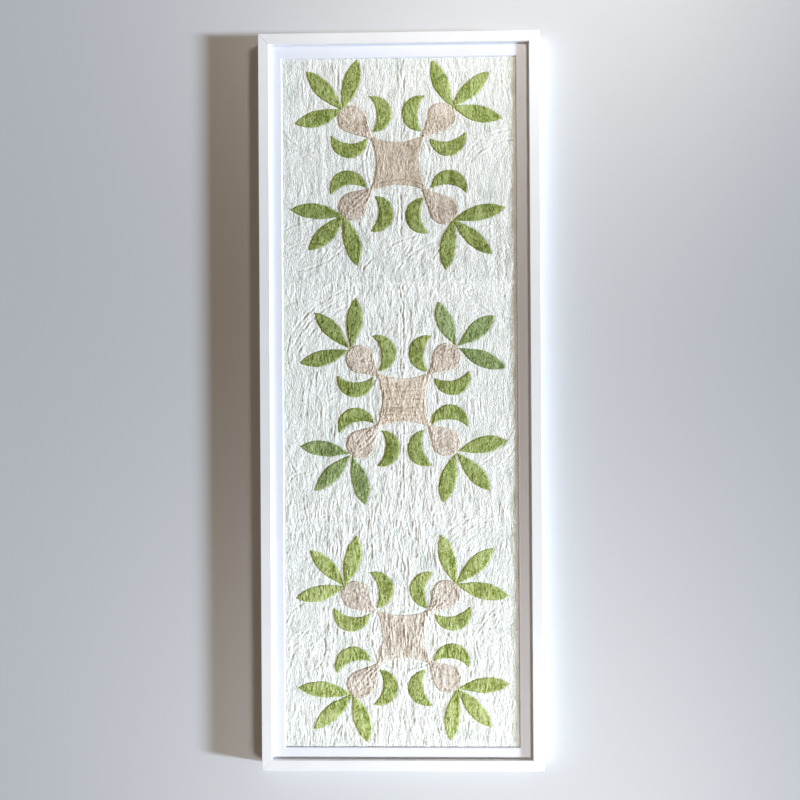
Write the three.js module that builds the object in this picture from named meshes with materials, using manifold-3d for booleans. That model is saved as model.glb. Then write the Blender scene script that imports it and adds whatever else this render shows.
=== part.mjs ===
// Framed applique quilt panel: three quilted blocks in one long panel, held behind a window mat in a
// mitred wooden frame that lies on its back.
// Sizes are in millimetres. X is the width, Y the length, and Z points out of the framed face.
// The origin is at the middle of the frame's back, on the plane that it lies on.
import * as THREE from 'three';
import { mergeVertices } from 'three/addons/utils/BufferGeometryUtils.js';
import Module from 'manifold-3d';

const wasm = await Module();
wasm.setup();

// Frame rails
const FRAME_WIDTH = 494;
const FRAME_LENGTH = 1295;
const FRAME_DEPTH = 32;
const FACE_WIDTH = 19;
const RABBET_WIDTH = 6;
const LIP_THICKNESS = 6.5;
const FACE_CHAMFER = 0.8;
const PIECE_GAP = 0.3;

// Boards in the rabbet
const RABBET_CLEARANCE = 1;
const MAT_THICKNESS = 1.5;
const WINDOW_WIDTH = 412;
const WINDOW_LENGTH = 1214;
const WINDOW_CENTRE_Y = -1.5;
const BOARD_THICKNESS = 3;
const BOARD_INSET = FACE_WIDTH - RABBET_WIDTH + RABBET_CLEARANCE;
const BOARD_WIDTH = FRAME_WIDTH - 2 * BOARD_INSET;
const BOARD_LENGTH = FRAME_LENGTH - 2 * BOARD_INSET;

// Quilt ground
const QUILT_THICKNESS = 3.8;
const MAT_OVERLAP = 10;
const SEAM_Y = [211.6, -211.2];
const RIDGES = 50;
const RIDGE_ROWS = 10;
const VALLEY_DEPTH = 1.2;
const SEAM_DIP = 0.75;
const SEAM_REACH = 24;

// Slow waves that make the ridges uneven: their strength in millimetres, how far along the length one
// radian reaches, and their shift in radians from one ridge or valley to the next.
const WANDER_WAVE = { strength: 1.7, reach: 47, shift: 0.31 };
const SWAY_WAVE = { strength: 1, reach: 21, shift: -0.17 };
const SAG_WAVE = { strength: 0.25, reach: 33, shift: 2.4 };
const VALLEY_WAVE = { strength: 0.4, reach: 29, shift: 1 };
const PUCKER_WAVE = { strength: 0.35, reach: 60, shift: 1.9 };

// Patches
const PATCH_EDGE = 0.6;
const PATCH_CROWN = 0.6;
const NECK_OUT = 66.5;
const NECK_WIDTH = 6.4;
const REEL_SIDE = 37.4;
const REEL_STEPS = 7;
const REEL_SHOULDER = 0.8;
const BULB_RADIUS = 25;
const BULB_STEPS = 6;
const BULB_TO_LEAF = 0.5;
const LEAF_WIDTH = 28;
const LEAF_LAP = 2.5;
const LEAF_BASE_TAPER = 1.25;
const LEAF_TIP_TAPER = 0.95;
const LEAF_BOW = 2;
const LEAF_STEPS = 7;
const CRESCENT_CHORD = 63;
const CRESCENT_RISE = 37;
const CRESCENT_HOLLOW = 11;
const CRESCENT_STEPS = 7;

// Heights of the layers, from the front back
const LIP_BACK = FRAME_DEPTH - LIP_THICKNESS;
const MAT_BACK = LIP_BACK - PIECE_GAP - MAT_THICKNESS;
const QUILT_TOP = MAT_BACK - PIECE_GAP;
const QUILT_BACK = QUILT_TOP - QUILT_THICKNESS;
const BOARD_BACK = QUILT_BACK - PIECE_GAP - BOARD_THICKNESS;
const PATCH_BACK = QUILT_TOP + PIECE_GAP;

// Each block's middle, and for each of its arms, counter-clockwise from the upper right: the arm's
// turn off its diagonal, how far out the leaves' root lies, for each of the three leaves its turn away
// from the arm and its reach from the root, and for the crescents on its left and right how far out and
// aside their middles lie and how far they turn away from the arm. Hand-cut patches are uneven, and so
// are these.
const BLOCKS = [
  {
    name: 'top',
    x: -2,
    y: 419.7,
    arms: [
      { name: 'ne', turn: 1, root: 138, leaves: [[67, 89], [-3, 89], [-60, 91]],
        left: [94, 28, 38], right: [96, 29, 37] },
      { name: 'nw', turn: 0.5, root: 137, leaves: [[61, 87], [-3, 93], [-63, 92]],
        left: [94, 26, 39], right: [95, 29, 41] },
      { name: 'sw', turn: -1.5, root: 134, leaves: [[62, 92], [1, 86], [-51, 94]],
        left: [94, 33, 39], right: [97, 25, 33] },
      { name: 'se', turn: -1, root: 140, leaves: [[59, 94], [4, 91], [-53, 89]],
        left: [98, 30, 38], right: [101, 28, 37] },
    ],
  },
  {
    name: 'middle',
    x: 6.2,
    y: 1.9,
    arms: [
      { name: 'ne', turn: -0.5, root: 132, leaves: [[68, 87], [-5, 87], [-68, 92]],
        left: [90, 26, 40], right: [92, 27, 34] },
      { name: 'nw', turn: 1.5, root: 130, leaves: [[58, 92], [-3, 91], [-53, 92]],
        left: [91, 28, 41], right: [93, 25, 37] },
      { name: 'sw', turn: 0.5, root: 133, leaves: [[59, 92], [0, 91], [-54, 92]],
        left: [91, 28, 37], right: [94, 25, 31] },
      { name: 'se', turn: 0, root: 130, leaves: [[57, 92], [-4, 90], [-60, 92]],
        left: [89, 25, 42], right: [90, 29, 33] },
    ],
  },
  {
    name: 'bottom',
    x: 3.7,
    y: -415.3,
    arms: [
      { name: 'ne', turn: 0, root: 131, leaves: [[61, 91], [-1, 92], [-58, 95]],
        left: [92, 24, 35], right: [94, 27, 34] },
      { name: 'nw', turn: 4, root: 137, leaves: [[55, 89], [-5, 88], [-63, 91]],
        left: [99, 25, 32], right: [95, 26, 38] },
      { name: 'sw', turn: 3, root: 137, leaves: [[60, 88], [-6, 91], [-55, 96]],
        left: [98, 23, 31], right: [99, 29, 30] },
      { name: 'se', turn: 1, root: 131, leaves: [[49, 91], [-5, 91], [-54, 93]],
        left: [94, 23, 34], right: [94, 33, 35] },
    ],
  },
];
const FIRST_ARM_TURN = 45;
const ARM_PITCH = 90;

function finish(color, roughness) {
  return new THREE.MeshStandardMaterial({ color, roughness, metalness: 0 });
}

const paintedWood = () => finish(0xf1efee, 0.45);
const matCard = () => finish(0xf4f3f6, 0.9);
const hardboard = () => finish(0xa98a68, 0.85);
const groundCotton = () => finish(0xe3e4dc, 0.95);
const reelCotton = () => finish(0xcbb9a4, 0.95);
const bulbCotton = () => finish(0xd6c2b0, 0.95);
const greenCotton = () => finish(0x94a659, 0.95);

const degrees = THREE.MathUtils.degToRad;

// The point at a fraction from -1 to 1 along a round arc over a chord that is centred on the origin.
function arcPoint(chord, rise, fraction) {
  const radius = (chord * chord / 4 + rise * rise) / (2 * rise);
  const angle = fraction * 2 * Math.atan(2 * rise / chord);
  return new THREE.Vector2(radius * Math.sin(angle), rise - radius + radius * Math.cos(angle));
}

// A closed surface through rings of equally many points. Points that coincide are shared, so a ring
// that shrinks to a point or a line closes an end. Each ring runs counter-clockwise seen from the next.
function closedSkin(rings) {
  const numbers = new Map();
  const coordinates = [];
  const indices = [];
  const numberOf = (point) => {
    const key = point.toArray().map((value) => value.toFixed(4)).join(' ');
    if (!numbers.has(key)) {
      numbers.set(key, numbers.size);
      coordinates.push(...point.toArray());
    }
    return numbers.get(key);
  };
  const addTriangle = (a, b, c) => {
    if (a !== b && b !== c && c !== a) {
      indices.push(a, b, c);
    }
  };
  for (let ring = 0; ring + 1 < rings.length; ring += 1) {
    const near = rings[ring].map(numberOf);
    const far = rings[ring + 1].map(numberOf);
    for (let corner = 0; corner < near.length; corner += 1) {
      const next = (corner + 1) % near.length;
      addTriangle(near[corner], near[next], far[corner]);
      addTriangle(near[next], far[next], far[corner]);
    }
  }
  const geometry = new THREE.BufferGeometry();
  geometry.setAttribute('position', new THREE.Float32BufferAttribute(coordinates, 3));
  geometry.setIndex(indices);
  geometry.computeVertexNormals();
  return geometry;
}

// A patch between two edges that share their first and last points, puffed up along its middle.
function puffedPatch(leftEdge, rightEdge) {
  const last = leftEdge.length - 1;
  const sections = leftEdge.map((left, station) => {
    const right = rightEdge[station];
    const middle = left.clone().add(right).multiplyScalar(0.5);
    const crown = PATCH_EDGE + PATCH_CROWN * Math.sqrt(Math.sin(Math.PI * station / last));
    return [
      new THREE.Vector3(right.x, right.y, 0),
      new THREE.Vector3(left.x, left.y, 0),
      new THREE.Vector3(left.x, left.y, PATCH_EDGE),
      new THREE.Vector3(middle.x, middle.y, crown),
      new THREE.Vector3(right.x, right.y, PATCH_EDGE),
    ];
  });
  return closedSkin(sections);
}

// A patch that is the same on both sides of the X axis, from a list of places and half widths.
function evenPatch(outline) {
  const leftEdge = outline.map((point) => new THREE.Vector2(point.x, point.y));
  const rightEdge = outline.map((point) => new THREE.Vector2(point.x, -point.y));
  return puffedPatch(leftEdge, rightEdge);
}

// A square whose sides are hollowed by arcs and whose corners end in short straight necks.
function reelGeometry() {
  const cornerAside = (NECK_OUT - NECK_WIDTH / 2) / Math.SQRT2;
  const cornerOut = (NECK_OUT + NECK_WIDTH / 2) / Math.SQRT2;
  const outline = [];
  for (let side = 0; side < 4; side += 1) {
    for (let step = 0; step <= REEL_STEPS; step += 1) {
      const point = arcPoint(2 * cornerAside, cornerOut - REEL_SIDE, 1 - 2 * step / REEL_STEPS);
      point.y = cornerOut - point.y;
      outline.push(point.rotateAround(new THREE.Vector2(), side * Math.PI / 2));
    }
  }
  const ring = (scale, height) => outline.map((point) => {
    const scaled = point.clone().multiplyScalar(scale);
    return new THREE.Vector3(scaled.x, scaled.y, height);
  });
  return closedSkin([
    ring(0, 0),
    ring(1, 0),
    ring(1, PATCH_EDGE),
    ring(REEL_SHOULDER, PATCH_EDGE + PATCH_CROWN),
    ring(0, PATCH_EDGE + PATCH_CROWN),
  ]);
}

// A teardrop from the reel's neck to the leaves' root, whose straight flanks run from the neck's width
// to touch its round end.
function bulbGeometry(end) {
  const centre = end - BULB_RADIUS;
  const start = NECK_OUT + PIECE_GAP;
  const toNeck = Math.atan2(NECK_WIDTH / 2, centre - start);
  const flank = Math.asin(BULB_RADIUS / Math.hypot(centre - start, NECK_WIDTH / 2)) - toNeck;
  const outline = [new THREE.Vector2(start, 0), new THREE.Vector2(start, NECK_WIDTH / 2)];
  for (let step = 0; step < BULB_STEPS; step += 1) {
    const angle = (Math.PI / 2 + flank) * (1 - step / BULB_STEPS);
    outline.push(new THREE.Vector2(centre + BULB_RADIUS * Math.cos(angle), BULB_RADIUS * Math.sin(angle)));
  }
  outline.push(new THREE.Vector2(end, 0));
  return evenPatch(outline);
}

// A leaf with two pointed ends, fuller towards its outer end, that bows to its left.
function leafGeometry(length, bow) {
  const widest = LEAF_BASE_TAPER / (LEAF_BASE_TAPER + LEAF_TIP_TAPER);
  const taper = (along) => along ** LEAF_BASE_TAPER * (1 - along) ** LEAF_TIP_TAPER;
  const leftEdge = [];
  const rightEdge = [];
  for (let step = 0; step <= LEAF_STEPS; step += 1) {
    const along = step / LEAF_STEPS;
    const half = LEAF_WIDTH / 2 * taper(along) / taper(widest);
    const middle = bow * 4 * along * (1 - along);
    leftEdge.push(new THREE.Vector2(along * length, middle + half));
    rightEdge.push(new THREE.Vector2(along * length, middle - half));
  }
  return puffedPatch(leftEdge, rightEdge);
}

// A half moon between a round outer arc and a flatter inner one that share their ends.
function crescentGeometry() {
  const outer = [];
  const inner = [];
  for (let step = 0; step <= CRESCENT_STEPS; step += 1) {
    const fraction = 2 * step / CRESCENT_STEPS - 1;
    outer.push(arcPoint(CRESCENT_CHORD, CRESCENT_RISE, fraction));
    inner.push(arcPoint(CRESCENT_CHORD, CRESCENT_HOLLOW, fraction));
  }
  return puffedPatch(outer, inner);
}

function toManifold(geometry) {
  geometry.deleteAttribute('normal');
  const merged = mergeVertices(geometry);
  return new wasm.Manifold(new wasm.Mesh({
    numProp: 3,
    vertProperties: new Float32Array(merged.attributes.position.array),
    triVerts: new Uint32Array(merged.index.array),
  }));
}

function fromManifold(manifold) {
  const mesh = manifold.getMesh();
  const geometry = new THREE.BufferGeometry();
  geometry.setAttribute('position', new THREE.BufferAttribute(mesh.vertProperties, 3));
  geometry.setIndex(new THREE.BufferAttribute(mesh.triVerts, 1));
  geometry.computeVertexNormals();
  return geometry;
}

// Three leaves that fan out from one root, joined where their inner tips meet. The outer two bow away
// from the middle one.
function sprigGeometry(arm) {
  const leaves = arm.leaves.map(([turn, reach]) => {
    const bow = Math.abs(turn) > ARM_PITCH / 4 ? LEAF_BOW * Math.sign(turn) : 0;
    const leaf = leafGeometry(reach + LEAF_LAP, bow).translate(-LEAF_LAP, 0, 0);
    return toManifold(leaf.rotateZ(degrees(turn)));
  });
  return fromManifold(leaves.reduce((joined, leaf) => joined.add(leaf)));
}

function namedMesh(name, geometry, material) {
  const mesh = new THREE.Mesh(geometry, material);
  mesh.name = name;
  return mesh;
}

// The reel and its four arms of patches, each arm laid out along its own X axis.
function blockPatches(block) {
  const patches = new THREE.Group();
  patches.position.set(block.x, block.y, PATCH_BACK);
  patches.add(namedMesh(`${block.name}_reel`, reelGeometry(), reelCotton()));
  block.arms.forEach((arm, place) => {
    const armGroup = new THREE.Group();
    armGroup.rotation.z = degrees(FIRST_ARM_TURN + ARM_PITCH * place + arm.turn);
    const prefix = `${block.name}_${arm.name}`;
    const bulbEnd = arm.root - LEAF_LAP - BULB_TO_LEAF;
    armGroup.add(namedMesh(`${prefix}_bulb`, bulbGeometry(bulbEnd), bulbCotton()));
    const sprig = namedMesh(`${prefix}_sprig`, sprigGeometry(arm), greenCotton());
    sprig.position.x = arm.root;
    armGroup.add(sprig);
    const [leftOut, leftAside, leftTurn] = arm.left;
    const left = namedMesh(`${prefix}_crescent_left`, crescentGeometry(), greenCotton());
    left.position.set(leftOut, leftAside, 0);
    left.rotation.z = degrees(leftTurn);
    armGroup.add(left);
    const [rightOut, rightAside, rightTurn] = arm.right;
    const right = namedMesh(`${prefix}_crescent_right`, crescentGeometry(), greenCotton());
    right.position.set(rightOut, -rightAside, 0);
    right.rotation.z = degrees(180 - rightTurn);
    armGroup.add(right);
    patches.add(armGroup);
  });
  return patches;
}

function wave({ strength, reach, shift }, y, column) {
  return strength * Math.sin(y / reach + column * shift);
}

// How far the ground lies below its highest ridges. Even columns are ridges and odd ones valleys.
function groundDepth(y, column, fromEnd) {
  const sag = SAG_WAVE.strength + wave(SAG_WAVE, y, column);
  const valley = column % 2 * (VALLEY_DEPTH + wave(VALLEY_WAVE, y, column));
  const dip = SEAM_DIP + wave(PUCKER_WAVE, y, column);
  return sag + valley + dip * Math.max(0, 1 - fromEnd / SEAM_REACH);
}

// One quilted block: a ridged section drawn along the length, whose ridges wander and sink unevenly
// and dip towards its two ends, where the rows of points lie closer.
function groundBlock(name, lowY, highY) {
  const width = WINDOW_WIDTH + 2 * MAT_OVERLAP;
  const halfLength = (highY - lowY) / 2;
  const columns = 2 * RIDGES;
  const section = new THREE.Shape();
  section.moveTo(width / 2, 0);
  for (let column = columns; column >= 0; column -= 1) {
    section.lineTo(width * (column / columns - 0.5), QUILT_THICKNESS);
  }
  section.lineTo(-width / 2, 0);
  const geometry = new THREE.ExtrudeGeometry(section, { depth: 2, steps: RIDGE_ROWS, bevelEnabled: false });
  geometry.translate(0, 0, -1);
  geometry.rotateX(Math.PI / 2);
  const position = geometry.attributes.position;
  for (let i = 0; i < position.count; i += 1) {
    const along = Math.sin(position.getY(i) * Math.PI / 2) * halfLength;
    const y = along + (lowY + highY) / 2;
    position.setY(i, along);
    if (position.getZ(i) > QUILT_THICKNESS / 2) {
      const column = Math.round((position.getX(i) / width + 0.5) * columns);
      const wander = wave(WANDER_WAVE, y, column) + wave(SWAY_WAVE, y, column);
      const depth = groundDepth(y, column, halfLength - Math.abs(along));
      position.setX(i, position.getX(i) + wander * Math.sin(Math.PI * column / columns));
      position.setZ(i, QUILT_THICKNESS - depth);
    }
  }
  geometry.computeVertexNormals();
  const ground = namedMesh(name, geometry, groundCotton());
  ground.position.set(0, (lowY + highY) / 2, QUILT_BACK);
  return ground;
}

// A rail along Y with its outer face at x = 0 and its length cut off at 45 degrees at both ends.
function mitredRail(name, length, x, y, turn) {
  const web = FACE_WIDTH - RABBET_WIDTH;
  const section = new THREE.Shape();
  section.moveTo(0, 0);
  section.lineTo(web, 0);
  section.lineTo(web, LIP_BACK);
  section.lineTo(FACE_WIDTH, LIP_BACK);
  section.lineTo(FACE_WIDTH, FRAME_DEPTH - FACE_CHAMFER);
  section.lineTo(FACE_WIDTH - FACE_CHAMFER, FRAME_DEPTH);
  section.lineTo(FACE_CHAMFER, FRAME_DEPTH);
  section.lineTo(0, FRAME_DEPTH - FACE_CHAMFER);
  const geometry = new THREE.ExtrudeGeometry(section, { depth: 2, bevelEnabled: false });
  geometry.translate(0, 0, -1);
  const position = geometry.attributes.position;
  for (let i = 0; i < position.count; i += 1) {
    const halfLength = length / 2 - position.getX(i) - PIECE_GAP / Math.SQRT2;
    position.setZ(i, position.getZ(i) * halfLength);
  }
  geometry.rotateX(Math.PI / 2);
  geometry.computeVertexNormals();
  const rail = namedMesh(name, geometry, paintedWood());
  rail.position.set(x, y, 0);
  rail.rotation.z = degrees(turn);
  return rail;
}

// The mat's window is cut at 45 degrees, so it is wider at the front than at the back.
function windowMat() {
  const card = rectangle(new THREE.Shape(), BOARD_WIDTH, BOARD_LENGTH, 0);
  card.holes.push(rectangle(new THREE.Path(), WINDOW_WIDTH, WINDOW_LENGTH, WINDOW_CENTRE_Y));
  const geometry = new THREE.ExtrudeGeometry(card, { depth: MAT_THICKNESS, bevelEnabled: false });
  const position = geometry.attributes.position;
  for (let i = 0; i < position.count; i += 1) {
    const atWindow = Math.abs(position.getX(i)) < FRAME_WIDTH / 2 - FACE_WIDTH;
    if (atWindow && position.getZ(i) > 0) {
      position.setX(i, position.getX(i) + Math.sign(position.getX(i)) * MAT_THICKNESS);
      position.setY(i, position.getY(i) + Math.sign(position.getY(i)) * MAT_THICKNESS);
    }
  }
  geometry.computeVertexNormals();
  const mat = namedMesh('window_mat', geometry, matCard());
  mat.position.z = MAT_BACK;
  return mat;
}

function rectangle(path, width, length, centreY) {
  path.moveTo(-width / 2, centreY - length / 2);
  path.lineTo(width / 2, centreY - length / 2);
  path.lineTo(width / 2, centreY + length / 2);
  path.lineTo(-width / 2, centreY + length / 2);
  path.closePath();
  return path;
}

function backingBoard() {
  const sheet = new THREE.BoxGeometry(BOARD_WIDTH, BOARD_LENGTH, BOARD_THICKNESS);
  const board = namedMesh('backing_board', sheet, hardboard());
  board.position.z = BOARD_BACK + BOARD_THICKNESS / 2;
  return board;
}

function quiltGround() {
  const ground = new THREE.Group();
  const topEnd = WINDOW_CENTRE_Y + WINDOW_LENGTH / 2 + MAT_OVERLAP;
  const bottomEnd = WINDOW_CENTRE_Y - WINDOW_LENGTH / 2 - MAT_OVERLAP;
  const [upperSeam, lowerSeam] = SEAM_Y;
  ground.add(groundBlock('top_ground', upperSeam + PIECE_GAP / 2, topEnd));
  ground.add(groundBlock('middle_ground', lowerSeam + PIECE_GAP / 2, upperSeam - PIECE_GAP / 2));
  ground.add(groundBlock('bottom_ground', bottomEnd, lowerSeam - PIECE_GAP / 2));
  return ground;
}

function frameRails() {
  const rails = new THREE.Group();
  rails.add(mitredRail('rail_left', FRAME_LENGTH, -FRAME_WIDTH / 2, 0, 0));
  rails.add(mitredRail('rail_right', FRAME_LENGTH, FRAME_WIDTH / 2, 0, 180));
  rails.add(mitredRail('rail_bottom', FRAME_WIDTH, 0, -FRAME_LENGTH / 2, 90));
  rails.add(mitredRail('rail_top', FRAME_WIDTH, 0, FRAME_LENGTH / 2, -90));
  return rails;
}

const framedQuilt = new THREE.Group();
framedQuilt.add(frameRails());
framedQuilt.add(backingBoard());
framedQuilt.add(quiltGround());
BLOCKS.forEach((block) => framedQuilt.add(blockPatches(block)));
framedQuilt.add(windowMat());

export default framedQuilt;
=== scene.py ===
import math

import bpy
import numpy as np
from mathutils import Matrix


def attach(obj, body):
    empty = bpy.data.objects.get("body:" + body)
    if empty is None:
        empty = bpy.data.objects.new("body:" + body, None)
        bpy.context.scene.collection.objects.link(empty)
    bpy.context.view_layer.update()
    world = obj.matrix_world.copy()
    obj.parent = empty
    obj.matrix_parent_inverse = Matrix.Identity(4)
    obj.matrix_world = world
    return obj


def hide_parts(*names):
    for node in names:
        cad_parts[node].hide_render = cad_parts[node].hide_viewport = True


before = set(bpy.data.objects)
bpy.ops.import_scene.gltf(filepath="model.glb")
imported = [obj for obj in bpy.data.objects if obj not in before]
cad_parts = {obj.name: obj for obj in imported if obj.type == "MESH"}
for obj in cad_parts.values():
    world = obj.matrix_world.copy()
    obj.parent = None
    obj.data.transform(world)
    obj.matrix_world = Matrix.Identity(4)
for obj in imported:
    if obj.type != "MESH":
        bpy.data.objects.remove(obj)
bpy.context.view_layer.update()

bpy.ops.object.select_all(action="DESELECT")

# Camera: straight above the panel, which lies on its back, about an arm's length over the floor. It is
# held by hand, so it leans by a degree and turns by a third of a degree. Sizes are in millimetres.
MM = 0.001
IMAGE_PIXELS = 800
FOCAL_PIXELS = 742.6
SENSOR_WIDTH = 36
CAMERA_PLACE = (21.8 * MM, -0.7 * MM, 1332 * MM)
CAMERA_TILT = (math.radians(0.110), math.radians(0.990), math.radians(-0.348))

bpy.ops.object.camera_add(location=CAMERA_PLACE, rotation=CAMERA_TILT)
camera = bpy.context.object
camera.name = "camera"
camera.data.sensor_width = SENSOR_WIDTH
camera.data.lens = FOCAL_PIXELS * SENSOR_WIDTH / IMAGE_PIXELS
bpy.context.scene.camera = camera

# Quilt ground: three off-white cotton blocks over thin wadding, sewn end to end and quilted by hand.
# Washing has shrunk them into fine lengthwise creases, and the stitching sinks in as narrow grooves.
# They lie stretched between the mat and the board, flat behind and pressed down under the mat.
GROUND_HALF_WIDTH = 216
GROUND_END_Y = (-618.5, 615.5)
SEAM_Y = (-211.2, 211.6)
SEAM_GAP = 0.06
GROUND_BACK = 19.6
GROUND_LEVEL = 22.75
GROUND_CEILING = 23.45
GROUND_COLUMNS = 380
GROUND_ROWS = 250
WINDOW_HALF_WIDTH = 206
WINDOW_END_Y = (-608.5, 605.5)

# The blocks as in the frame: each one's middle, and its four arms, counter-clockwise from the upper
# right: the arm's turn off its diagonal, the distance of the leaves' root, the turn and reach of each
# leaf, and for the left and right crescent how far out and aside it lies and its turn.
BLOCKS = {
    "top": ((-2, 419.7), {
        "ne": (1, 138, ((67, 89), (-3, 89), (-60, 91)), (94, 28, 38), (96, 29, 37)),
        "nw": (0.5, 137, ((61, 87), (-3, 93), (-63, 92)), (94, 26, 39), (95, 29, 41)),
        "sw": (-1.5, 134, ((62, 92), (1, 86), (-51, 94)), (94, 33, 39), (97, 25, 33)),
        "se": (-1, 140, ((59, 94), (4, 91), (-53, 89)), (98, 30, 38), (101, 28, 37)),
    }),
    "middle": ((6.2, 1.9), {
        "ne": (-0.5, 132, ((68, 87), (-5, 87), (-68, 92)), (90, 26, 40), (92, 27, 34)),
        "nw": (1.5, 130, ((58, 92), (-3, 91), (-53, 92)), (91, 28, 41), (93, 25, 37)),
        "sw": (0.5, 133, ((59, 92), (0, 91), (-54, 92)), (91, 28, 37), (94, 25, 31)),
        "se": (0, 130, ((57, 92), (-4, 90), (-60, 92)), (89, 25, 42), (90, 29, 33)),
    }),
    "bottom": ((3.7, -415.3), {
        "ne": (0, 131, ((61, 91), (-1, 92), (-58, 95)), (92, 24, 35), (94, 27, 34)),
        "nw": (4, 137, ((55, 89), (-5, 88), (-63, 91)), (99, 25, 32), (95, 26, 38)),
        "sw": (3, 137, ((60, 88), (-6, 91), (-55, 96)), (98, 23, 31), (99, 29, 30)),
        "se": (1, 131, ((49, 91), (-5, 91), (-54, 93)), (94, 23, 34), (94, 33, 35)),
    }),
}
ARM_NAMES = ("ne", "nw", "sw", "se")
LEAF_NAMES = ("left", "middle", "right")

# Patch sizes: how far the reel's sides and corners lie from its middle, the neck where a bulb leaves it,
# and the leaves and crescents. A leaf's tapers shape its base and tip, and its spreads tell leaves apart.
REEL_SIDE = 38
REEL_CORNER = 50.4
NECK_OUT = 66.5
NECK_HALF_WIDTH = 3.2
BULB_RADIUS = 25
BULB_PAST_ROOT = 0.5
NECK_OVERLAP = 2
FLANK_EASE = 0.06
FLANK_HOLLOW = 1.6
LEAF_WIDTH = 28
LEAF_WIDTH_SPREAD = 1.3
LEAF_BASE_TAPER = 1.25
LEAF_TIP_TAPER = 0.95
LEAF_BOW = 2
LEAF_BOW_SPREAD = 0.8
LEAF_START = {"top": -3.5, "middle": 2, "bottom": -2}
CRESCENT_CHORD = 63
CRESCENT_RISE = 37
CRESCENT_HOLLOW = 11
EDGE_WANDER = 0.8
EDGE_WANDER_LENGTH = 23

# Quilting lines on each block: both ends from the block's middle, and how far the line bows to its left.
QUILTING = {
    "top": (
        (-105.8, 187, -105.8, 141, 0.5), (5.3, 183, 5.3, 42, 1), (9.8, 183, 9.8, 42, 1),
        (3.5, -53, 3.5, -125, 1), (-201, -116, -99, -98, 9), (-63, -187, 39, -127, 12),
        (-4, -190, 78, -137, 10), (-180, -190, -77, -127, -12), (120, 10, 201, 56, 14),
        (128, 0, 205, 38, 12), (-37, -37, 44, -40, 9), (-205, 60, -150, 20, -8),
        (-200, 25, -140, 0, 7), (60, -170, 160, -110, 14), (-195, -150, -110, -150, 10),
    ),
    "middle": (
        (-6.3, 205, -6.3, 46, 1), (-1.8, 205, -1.8, 46, 1), (-6.3, -48, -6.3, -190, -1),
        (-1.8, -48, -1.8, -190, -1), (-208, 97, -109, 192, 14), (-198, 92, -100, 182, 13),
        (-185, 86, -95, 168, 12), (-36, 2, 36, 1, 1), (-37, -13, 37, -12, -1), (-38, -26, 38, -27, 1),
        (-36, 17, 36, 18, -1), (127, -118, 194, -47, -9), (140, -135, 199, -72, -9),
        (-200, -97, -165, -132, -15), (-165, -132, -205, -150, -12), (110, 190, 196, 140, -10),
    ),
    "bottom": (
        (-204, -23, -157, 10, 12), (-157, 10, -141, -30, 9), (-141, -30, -165, -60, 6),
        (-208, 26, -178, 58, 6), (-200, -60, -178, -10, 8), (200, -23, 150, 15, -12),
        (150, 15, 128, -20, -9), (128, -20, 152, -52, -6), (130, 9, 194, 55, 8),
        (140, 25, 200, 72, 8), (67, 171, 144, 213, 10), (80, 160, 160, 205, 10),
        (-91, 82, -58, 54, 2), (-80, 94, -72, 66, -3), (-120, -170, -60, -120, 9),
    ),
}

# Quilting lines along the bulbs: how far each one bows.
BULB_VEINS = {
    "top_sw": (7, 0, -6),
    "middle_sw": (8, 1.5, -7),
    "bottom_ne": (4, -4),
    "bottom_sw": (6, 0, -6),
}
VEIN_STARTS_ASIDE = 0.2
VEIN_ENDS_ASIDE = 0.3
VEIN_SHORT_OF_ROOT = 9
HOLLOW_STITCH_OUT = 57
HOLLOW_STITCH_HALF = 44.0
HOLLOW_STITCH_RISE = 10

# Where the creases leave the lengthwise run: place from the block's middle, reach, and turn from upright.
TURNED_CREASES = {
    "top": (
        (-175, 25, 42, 75), (-140, -150, 55, 45), (20, -165, 55, 50), (110, -140, 50, 75),
        (170, 5, 40, 50),
    ),
    "middle": ((-150, 140, 50, 45), (130, 170, 45, 75), (-190, -90, 40, -40), (170, -100, 55, 45)),
    "bottom": ((-180, 0, 38, 50), (165, 15, 42, 50), (110, 180, 45, 50), (-170, 130, 35, -30)),
}


def turned(points, turn):
    """Points turned counter-clockwise about the origin by that many degrees."""
    cosine, sine = math.cos(math.radians(turn)), math.sin(math.radians(turn))
    return points @ np.array([[cosine, sine], [-sine, cosine]])


def on_arc(chord, rise, fraction):
    """Points at fractions from -1 to 1 along a round arc over a chord that is centred on the origin."""
    radius = (chord * chord / 4 + rise * rise) / (2 * rise)
    angle = fraction * 2 * math.atan(2 * rise / chord)
    return np.stack([radius * np.sin(angle), rise - radius + radius * np.cos(angle)], axis=-1)


NOISE_CELLS = 256


def noise(x, y, seed):
    """Smooth uneven waves about one unit long, from about -1 to 1, the same for the same seed."""
    slopes = np.random.default_rng(seed).uniform(0, 2 * math.pi, (NOISE_CELLS, NOISE_CELLS))
    column, row = np.floor(x).astype(int), np.floor(y).astype(int)
    right, up = x - column, y - row
    ease_x = right**3 * (right * (right * 6 - 15) + 10)
    ease_y = up**3 * (up * (up * 6 - 15) + 10)

    def pull(step_x, step_y):
        slope = slopes[(row + step_y) % NOISE_CELLS, (column + step_x) % NOISE_CELLS]
        return np.cos(slope) * (right - step_x) + np.sin(slope) * (up - step_y)

    below = pull(0, 0) * (1 - ease_x) + pull(1, 0) * ease_x
    above = pull(0, 1) * (1 - ease_x) + pull(1, 1) * ease_x
    return 1.5 * (below * (1 - ease_y) + above * ease_y)


def crease_axes(x, y, width, length, turn):
    """Places across and along creases that are turned clockwise from upright, in their widths and lengths."""
    cosine, sine = math.cos(math.radians(turn)), math.sin(math.radians(turn))
    return (x * cosine - y * sine) / width, (x * sine + y * cosine) / length


FOLD_NARROWNESS = 0.2
FOLD_COVER = 0.45
FOLD_BREAKS = 1.1


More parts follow.
